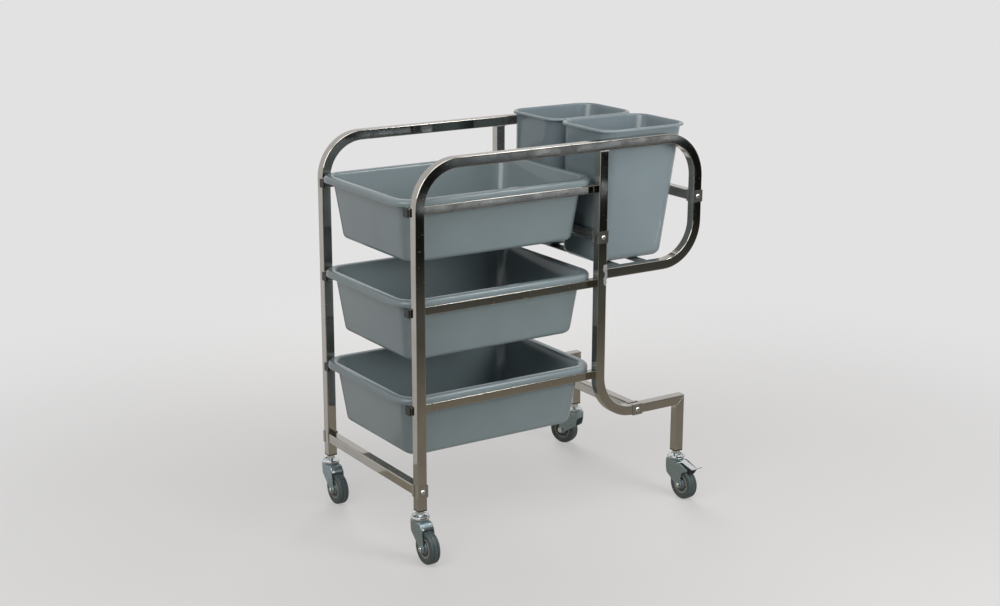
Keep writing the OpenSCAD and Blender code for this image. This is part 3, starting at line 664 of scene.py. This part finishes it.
plain = pressed_fork("pressed_fork_front_near", PLAIN_LEG, PLAIN_END)
braked = pressed_fork("pressed_fork_rear_near", BRAKED_LEG, BRAKED_END)
forks = {"front_near": plain, "front_far": copy_piece(plain, "pressed_fork_front_far"),
         "rear_near": braked, "rear_far": copy_piece(braked, "pressed_fork_rear_far")}
for corner, piece in forks.items():
    place_on_stem(piece, corner)
    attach(piece, "caster_" + corner)
    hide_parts("fork_" + corner)
    print("fork", corner, len(piece.data.polygons), "faces")

# %% [markdown]
# ## Brake pedals
# The foot brake is a steel strip pressed into a channel: its sides are turned down for stiffness
# and hold the pin, and its end is bent up into a narrow toe. It could be cut from a box. Pulling a
# U-shaped section along the pedal, with its own width and depth at each station, is closer to what
# the press does, and leaves a sheet of even thickness.

# %% Pressed pedals
# Distance from the swivel axis, height of the top, width, and depth of the sides, in mm
PEDAL_STATIONS = [(20.5, 101.0, 17.0, 9.5), (26.0, 101.0, 17.0, 11.0), (32.0, 99.6, 17.0, 9.0),
                  (44.0, 96.8, 17.0, 5.5), (60.0, 93.0, 16.5, 4.0), (71.0, 90.5, 16.0, 2.6),
                  (75.5, 90.5, 15.0, 1.4), (80.0, 92.4, 13.5, 0.6), (87.0, 96.4, 11.5, 0.4),
                  (94.0, 100.5, 9.5, 0.4), (98.5, 103.1, 7.5, 0.4), (100.0, 104.0, 5.5, 0.4)]
PEDAL_SHEET = 2.0


def pressed_pedal(name):
    """Pulls a U section through the stations, in the caster's own frame."""
    along, top, width, depth = PEDAL_STATIONS[0]
    middle = (along * MM, 0, (top - depth / 2) * MM)
    piece = new_plane(name, location=middle, rotation=(0, math.pi / 2, 0))
    edit(piece, "EDGE")
    bpy.ops.transform.resize(value=(1, width * MM, depth * MM), center_override=middle)
    bpy.ops.mesh.delete(type="ONLY_FACE")
    settle()
    lowest = min(piece.data.edges, key=lambda e: sum(piece.data.vertices[v].co.z for v in e.vertices))
    for edge in piece.data.edges:
        edge.select = edge == lowest
    bpy.ops.object.mode_set(mode="EDIT")
    bpy.ops.mesh.delete(type="EDGE")
    bpy.ops.mesh.select_all(action="SELECT")
    for (a0, h0, w0, d0), (a1, h1, w1, d1) in zip(PEDAL_STATIONS, PEDAL_STATIONS[1:]):
        step = ((a1 - a0) * MM, 0, (h1 - h0) * MM)
        bpy.ops.mesh.extrude_region_move(TRANSFORM_OT_translate={"value": step})
        bpy.ops.transform.resize(value=(1, w1 / w0, d1 / d0), center_override=(a1 * MM, 0, h1 * MM))
    bpy.ops.mesh.select_all(action="SELECT")
    bpy.ops.mesh.normals_make_consistent(inside=False)
    settle()
    apply_modifier(piece, "SOLIDIFY", thickness=PEDAL_SHEET * MM, offset=-1.0)
    soften_edges(piece, width_mm=0.4)
    piece.data.materials.append(zinc_bright)
    return piece


near_pedal = pressed_pedal("pressed_pedal_near")
pedals = {"near": near_pedal, "far": copy_piece(near_pedal, "pressed_pedal_far")}
for side, piece in pedals.items():
    place_on_stem(piece, "rear_" + side)
    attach(piece, "pedal_" + side)
    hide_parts("brake_pedal_" + side)
    print("pedal", side, len(piece.data.polygons), "faces")

# %% [markdown]
# ## Weld beads
# The frame is welded by hand, and polishing leaves the beads in its corners: under the top rail,
# where the loop meets the upright, along the mitred feet and under the tub rails. A bead is a chain
# of frozen pools. So a small disc is extruded along the joint in short steps that swell and shrink,
# with a fixed random seed for the welder's unsteady hand.

# %% One bead
random.seed(11)
POOL_MM, BEAD_SIDES, START_SIZE, END_SIZE = 1.5, 10, 0.5, 0.45


def weld_bead(start, end, radius_mm, flat=1.0, pool_mm=POOL_MM):
    """A rippled bead along a straight joint; flat below 1 presses it against a side frame's face."""
    start, end = Vector(start), Vector(end)
    steps = max(5, round((end - start).length / (pool_mm * MM)))
    advance = (end - start) / steps
    deselect_all()
    bpy.ops.mesh.primitive_circle_add(vertices=BEAD_SIDES, radius=START_SIZE * radius_mm * MM,
                                      fill_type="NGON", location=start,
                                      rotation=advance.to_track_quat("Z", "Y").to_euler())
    bead = bpy.context.object
    edit(bead, "FACE")
    size = START_SIZE
    for k in range(1, steps + 1):
        bpy.ops.mesh.extrude_region_move(TRANSFORM_OT_translate={"value": advance})
        ripple = random.uniform(0.94, 1.12) if k % 2 else random.uniform(0.78, 0.9)
        new_size = END_SIZE if k == steps else ripple
        bpy.ops.transform.resize(value=[new_size / size] * 3, center_override=start + advance * k)
        size = new_size
    if flat < 1.0:
        bpy.ops.mesh.select_all(action="SELECT")
        bpy.ops.transform.resize(value=(1, flat, 1), center_override=start)
    bpy.ops.mesh.select_all(action="SELECT")
    bpy.ops.mesh.normals_make_consistent(inside=False)
    settle()
    bpy.ops.object.shade_smooth_by_angle(angle=math.radians(60))
    return bead


# %% Beads on both side frames
TUBE = 25.0 * MM
# Radii in mm, named after what the beads hold
UPRIGHT_BEAD, LOOP_BEAD, INNER_BEAD, MITRE_BEAD, SLAT_BEAD = 1.8, 2.2, 2.0, 0.9, 1.8
RAIL_BEAD_BELOW, RAIL_BEAD_ABOVE = 2.0, 1.4
# The smear's runs: distance ahead of the joint, start and end over the shelf, and radius, in mm
SMEAR_RUNS = [(5.6, 11.0, -9.0, 6.4), (3.0, -4.0, -27.0, 4.2), (5.4, -20.0, -41.0, 5.0)]


def frame_beads(side):
    """Lays the beads of one side frame and joins them to one piece."""
    sign = -1 if side == "near" else 1
    upright_low, upright_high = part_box("rear_upright_" + side)
    leg_low, leg_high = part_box("rear_leg_" + side)
    outer = upright_low[1] if sign < 0 else upright_high[1]
    inner = outer - sign * TUBE
    front, back, top = upright_low[0], upright_low[0] + TUBE, upright_high[2]
    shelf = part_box("front_slat")[1][2]
    beads = [weld_bead((front, y, top), (back, y, top), UPRIGHT_BEAD)
             for y in (outer - sign * MM, inner + sign * MM)]
    beads += [weld_bead((x, inner, top), (x, outer, top), UPRIGHT_BEAD) for x in (front, back)]
    # The loop's lower rail is one tube high and ends on the upright's rear face
    beads += [weld_bead((back, inner, z), (back, outer, z), LOOP_BEAD) for z in (shelf, shelf - TUBE)]
    beads.append(weld_bead((back, inner, shelf - TUBE), (back, inner, shelf), INNER_BEAD))
    # Outside, that joint's bead is a thick, uneven smear of three runs
    for lean, rise, fall, radius in SMEAR_RUNS:
        beads.append(weld_bead((back - lean * MM, outer, shelf + rise * MM),
                               (back - (lean - 0.8) * MM, outer, shelf + fall * MM), radius,
                               flat=0.25, pool_mm=5.0))
    # The mitre runs from the foot's lower face to the leg's rear upper edge
    mitre_low, mitre_high = leg_high[2] - TUBE, leg_high[2] - 1.5 * MM
    beads += [weld_bead((leg_low[0], y, mitre_low), (leg_high[0], y, mitre_high), MITRE_BEAD, flat=0.5)
              for y in (outer, inner)]
    # Each tub rail lies against the inner faces of the front leg and the upright
    leg_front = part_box("side_loop_" + side)[0][0]
    for level in ("top", "middle", "bottom"):
        rail_low, rail_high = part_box(level + "_rail_" + side)
        for start in (leg_front, front):
            for z, radius in ((rail_low[2], RAIL_BEAD_BELOW), (rail_high[2], RAIL_BEAD_ABOVE)):
                beads.append(weld_bead((start + 4 * MM, inner, z), (start + 21 * MM, inner, z), radius))
    for slat in ("front_slat", "rear_slat"):
        slat_low, slat_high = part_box(slat)
        beads.append(weld_bead((slat_low[0] + 3 * MM, inner, slat_low[2]),
                               (slat_high[0] - 3 * MM, inner, slat_low[2]), SLAT_BEAD))
    choose(*beads)
    bpy.ops.object.join()
    piece = bpy.context.object
    piece.name = "weld_beads_" + side
    piece.data.materials.append(weld_metal)
    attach(piece, "frame")
    return len(beads)


for side in ("near", "far"):
    print("beads on the", side, "side frame:", frame_beads(side))

# %% [markdown]
# ## Camera
# The camera's place and lens come from fitting the trolley's straight edges to the photograph.

# %% Camera
CAMERA_PLACE, LENS_MM, SENSOR_MM = (-2.2588, -3.427, 1.625), 60.3, 36.0
AZIMUTH, ELEVATION, ROLL = math.radians(-33.13), math.radians(15.05), math.radians(0.14)
lens = bpy.data.cameras.new("photo_camera")
lens.sensor_fit = "HORIZONTAL"
lens.sensor_width = SENSOR_MM
lens.lens = LENS_MM
camera = bpy.data.objects.new("photo_camera", lens)
bpy.context.scene.collection.objects.link(camera)
back = Vector((math.sin(AZIMUTH) * math.cos(ELEVATION), -math.cos(AZIMUTH) * math.cos(ELEVATION),
               math.sin(ELEVATION)))
turn = back.to_track_quat("Z", "Y").to_matrix().to_4x4()
camera.matrix_world = Matrix.Translation(CAMERA_PLACE) @ turn @ Matrix.Rotation(ROLL, 4, "Z")
bpy.context.scene.camera = camera
bpy.context.scene.view_settings.view_transform = "Standard"
print("camera at", CAMERA_PLACE, "with a lens of", LENS_MM, "mm")

# %% [markdown]
# ## The studio
# A pale floor runs out into a pale surround, so that the trolley stands out by its own tones. The
# surround shows pale to the camera and to mirrors, and lights the scene at a much lower level, so
# that the insides of the lower tubs stay dark. Polished tube needs something dark to mirror as
# well: the faces on the near side look down at the floor in front. So the reflections there are
# painted: a glowing mat lies there that turns from warm grey to black further away, two pale boards
# on it paint light bands into the upper rails, and a glowing black sheet at its end paints a dark
# reflection. Only mirrors see them.

# %% Floor and surround
SURROUND = srgb("#e3e2e2")


def seen_or_mirrored(tree):
    """1 where the camera or a mirror looks, 0 where light is gathered."""
    path = add(tree, "ShaderNodeLightPath")
    looks = {0: path.outputs["Is Camera Ray"], 1: path.outputs["Is Glossy Ray"]}
    return add(tree, "ShaderNodeMath", looks, operation="MAXIMUM").outputs["Value"]


def lay_flat(name, middle, size, material):
    """A level sheet of the studio, with its size in metres."""
    plane = new_plane(name, location=middle)
    plane.scale = (size[0], size[1], 1.0)
    settle()
    plane.data.materials.append(material)
    print("studio:", name, [round(side, 2) for side in size], "m")
    return plane


def plain_floor():
    """A pale floor that fades into the surround within a few metres."""
    material, tree, place = start_material("pale_studio_floor")
    cloud = add(tree, "ShaderNodeTexNoise", {"Vector": place, "Scale": per_metre(400.0), "Detail": 2.0})
    tint = add(tree, "ShaderNodeMix", {"Factor": cloud.outputs["Fac"], "A": srgb("#bdbcba"),
                                       "B": srgb("#b8b7b5")}, data_type="RGBA")
    shader = add(tree, "ShaderNodeBsdfPrincipled", {"Base Color": tint.outputs["Result"],
                                                    "Roughness": 0.9})
    away = add(tree, "ShaderNodeVectorMath", {0: place}, operation="LENGTH")
    far = add(tree, "ShaderNodeMapRange", {"Value": away.outputs["Value"], "From Min": 0.5,
                                           "From Max": 2.4, "To Min": 0.48},
              interpolation_type="SMOOTHSTEP")
    fade = add(tree, "ShaderNodeMath", {0: far.outputs["Result"], 1: seen_or_mirrored(tree)},
               operation="MULTIPLY")
    pale = add(tree, "ShaderNodeEmission", {"Color": SURROUND, "Strength": 1.0})
    mix = add(tree, "ShaderNodeMixShader", {0: fade.outputs["Value"], 1: shader.outputs["BSDF"],
                                            2: pale.outputs["Emission"]})
    add(tree, "ShaderNodeOutputMaterial", {"Surface": mix.outputs["Shader"]})
    lay_flat("studio_floor", (0, 0, 0), (60, 60), material)


def pale_surround():
    """A pale world to look at, which lights the scene much less than it shows."""
    world = bpy.data.worlds.new("pale_surround")
    bpy.context.scene.world = world
    world.use_nodes = True
    tree = world.node_tree
    tree.nodes.clear()
    strength = add(tree, "ShaderNodeMapRange", {"Value": seen_or_mirrored(tree), "To Min": 0.29,
                                                "To Max": 1.0})
    light = add(tree, "ShaderNodeBackground", {"Color": SURROUND,
                                               "Strength": strength.outputs["Result"]})
    add(tree, "ShaderNodeOutputWorld", {"Surface": light.outputs["Background"]})
    print("world:", world.name)


plain_floor()
pale_surround()

# %% Painted reflections: mat, boards and curtain for the mirrors
MAT_REACH, MAT_SWAY, MAT_HEIGHT, BOARD_HEIGHT = 5.0, 0.16, 0.004, 0.008
# Tones of the painted reflection on the near faces, by metres ahead: grey close by, black far off
PAINTED_REFLECTION_TONES = [(0.7, "#99928a"), (1.1, "#8f887b"), (1.4, "#7d786d"), (1.8, "#5e5d56"),
             (2.1, "#5c5c57"), (2.4, "#4a4a44"), (2.9, "#20211f")]
CURTAIN_PLACE = (1.0, -4.98, 1.6)


def only_for_mirrors(plane):
    """Hides a sheet from the camera and from matt surfaces, and takes its shadow away."""
    plane.visible_camera = False
    plane.visible_diffuse = False
    plane.visible_shadow = False


def show_tone(tree, colour):
    """Makes a sheet glow in a colour whatever the lamps do; this paints the reflections below."""
    tone = add(tree, "ShaderNodeEmission", {"Color": colour, "Strength": 1.0})
    add(tree, "ShaderNodeOutputMaterial", {"Surface": tone.outputs["Emission"]})


def painted_reflection_curtain():
    """A painted dark reflection: a glowing black sheet five metres in front of the trolley, with painted
    fold shade almost a metre wide.
    """
    material, tree, place = start_material("painted_reflection_curtain")
    # The folds are painted shade: darker and lighter bands in the glowing black
    # A wave node runs through 20 radians per unit, so this is one radian in 150 mm
    folds = add(tree, "ShaderNodeTexWave", {"Vector": place, "Scale": per_metre(150.0) / 20,
                                            "Distortion": 2.0})
    tint = add(tree, "ShaderNodeMix", {"Factor": folds.outputs["Fac"], "A": srgb("#121212"),
                                       "B": srgb("#2a2a2b")}, data_type="RGBA")
    show_tone(tree, tint.outputs["Result"])
    curtain = lay_flat("painted_reflection_curtain", (0, 0, 0), (9.0, 3.2), material)
    curtain.data.transform(Matrix.Translation(CURTAIN_PLACE) @ STAND_UP)
    only_for_mirrors(curtain)


def painted_reflection_mat():
    """A painted reflection: a glowing mat in front of the trolley, warm grey close by and black from
    three metres on.
    """
    material, tree, place = start_material("painted_reflection_grey_to_black")
    apart = add(tree, "ShaderNodeSeparateXYZ", {"Vector": place})
    reflection_edge_wander = add(tree, "ShaderNodeTexNoise", {"Vector": place, "Scale": per_metre(500.0), "Detail": 3.0})
    sway = add(tree, "ShaderNodeMath", {0: reflection_edge_wander.outputs["Fac"], 1: MAT_SWAY, 2: apart.outputs["Y"]},
               operation="MULTIPLY_ADD")
    ahead = add(tree, "ShaderNodeMapRange", {"Value": sway.outputs["Value"], "From Min": MAT_SWAY / 2,
                                             "From Max": MAT_SWAY / 2 - MAT_REACH})
    bands = add(tree, "ShaderNodeValToRGB", {"Fac": ahead.outputs["Result"]})
    for metres, tone in PAINTED_REFLECTION_TONES:
        bands.color_ramp.elements.new(metres / MAT_REACH).color = srgb(tone)
    bands.color_ramp.elements[0].color = srgb("#a09a8e")
    bands.color_ramp.elements[-1].color = srgb("#161616")
    show_tone(tree, bands.outputs["Color"])
    only_for_mirrors(lay_flat("painted_reflection_mat", (1.0, -2.33, MAT_HEIGHT), (9.0, 5.3), material))


def mirrored_point(x, z):
    """The place on the floor that the frame's near face shows to the camera at x and height z."""
    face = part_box("side_loop_near")[0][1]
    reach = z / (CAMERA_PLACE[2] - z)
    return x + (x - CAMERA_PLACE[0]) * reach, face + (CAMERA_PLACE[1] - face) * reach


def painted_reflection_board(name, low, high, dark, light):
    """A painted reflection: a glowing pale board on the mat, mirrored from one corner (x, z) of a near
    face to the other.
    """
    material, tree, place = start_material(name)
    cloud = add(tree, "ShaderNodeTexNoise", {"Vector": place, "Scale": per_metre(350.0), "Detail": 3.0})
    shade = add(tree, "ShaderNodeMapRange", {"Value": cloud.outputs["Fac"], "From Min": 0.35,
                                             "From Max": 0.65})
    tint = add(tree, "ShaderNodeMix", {"Factor": shade.outputs["Result"], "A": srgb(dark),
                                       "B": srgb(light)}, data_type="RGBA")
    show_tone(tree, tint.outputs["Result"])
    (x0, y0), (x1, y1) = mirrored_point(*low), mirrored_point(*high)
    middle = ((x0 + x1) / 2, (y0 + y1) / 2, BOARD_HEIGHT)
    only_for_mirrors(lay_flat(name, middle, (x1 - x0, y0 - y1), material))


painted_reflection_mat()
painted_reflection_curtain()
# These boards paint pale reflection bands into the near faces of the top tub rail and the handle rail
painted_reflection_board("painted_reflection_for_the_top_tub_rail", (-0.36, 0.832), (0.1, 0.86), "#b2bcc6", "#e2e8ee")
painted_reflection_board("painted_reflection_for_the_handle_rail", (-0.3, 0.94), (0.3, 0.963), "#8f9ba5", "#e4eaee")

# %% [markdown]
# ## Light
# A soft light stands at the camera's right, little higher than the trolley, so that it lights the
# outsides of the tubs and leaves their insides dark. It would glare in the satin walls, so mirrors
# don't see it. A weak one hangs above and another stands on the left, to open the shadows. One
# behind shows the bins' and the far side's colour to whoever walks round. A small one under the
# ceiling only draws the thin highlights along the rolled rims.

# %% Soft lights
def soft_light(name, place, target, size, power, lights=True, mirrored=True):
    """A square lamp that looks at a target, and lights surfaces, shows in mirrors, or both."""
    lamp = bpy.data.lights.new(name, "AREA")
    lamp.shape = "SQUARE"
    lamp.size = size
    lamp.energy = power
    holder = bpy.data.objects.new(name, lamp)
    bpy.context.scene.collection.objects.link(holder)
    holder.location = place
    holder.visible_camera = False
    holder.visible_diffuse = lights
    holder.visible_glossy = mirrored
    holder.rotation_euler = (Vector(target) - Vector(place)).to_track_quat("-Z", "Y").to_euler()
    print("light:", name, power, "W")


soft_light("key_light", (0.8, -2.0, 1.3), (0, 0, 0.7), 1.0, 29, mirrored=False)
soft_light("top_light", (-0.4, -1.4, 3.2), (0, 0, 0.5), 2.0, 30)
soft_light("fill_light", (-1.9, -0.9, 1.9), (0, 0, 0.7), 1.4, 22)
soft_light("back_light", (1.2, 2.6, 1.5), (0, 0, 0.6), 2.0, 88, mirrored=False)
soft_light("rim_highlight", (1.7, -1.5, 3.4), (0, -0.2, 0.8), 0.6, 15, lights=False)
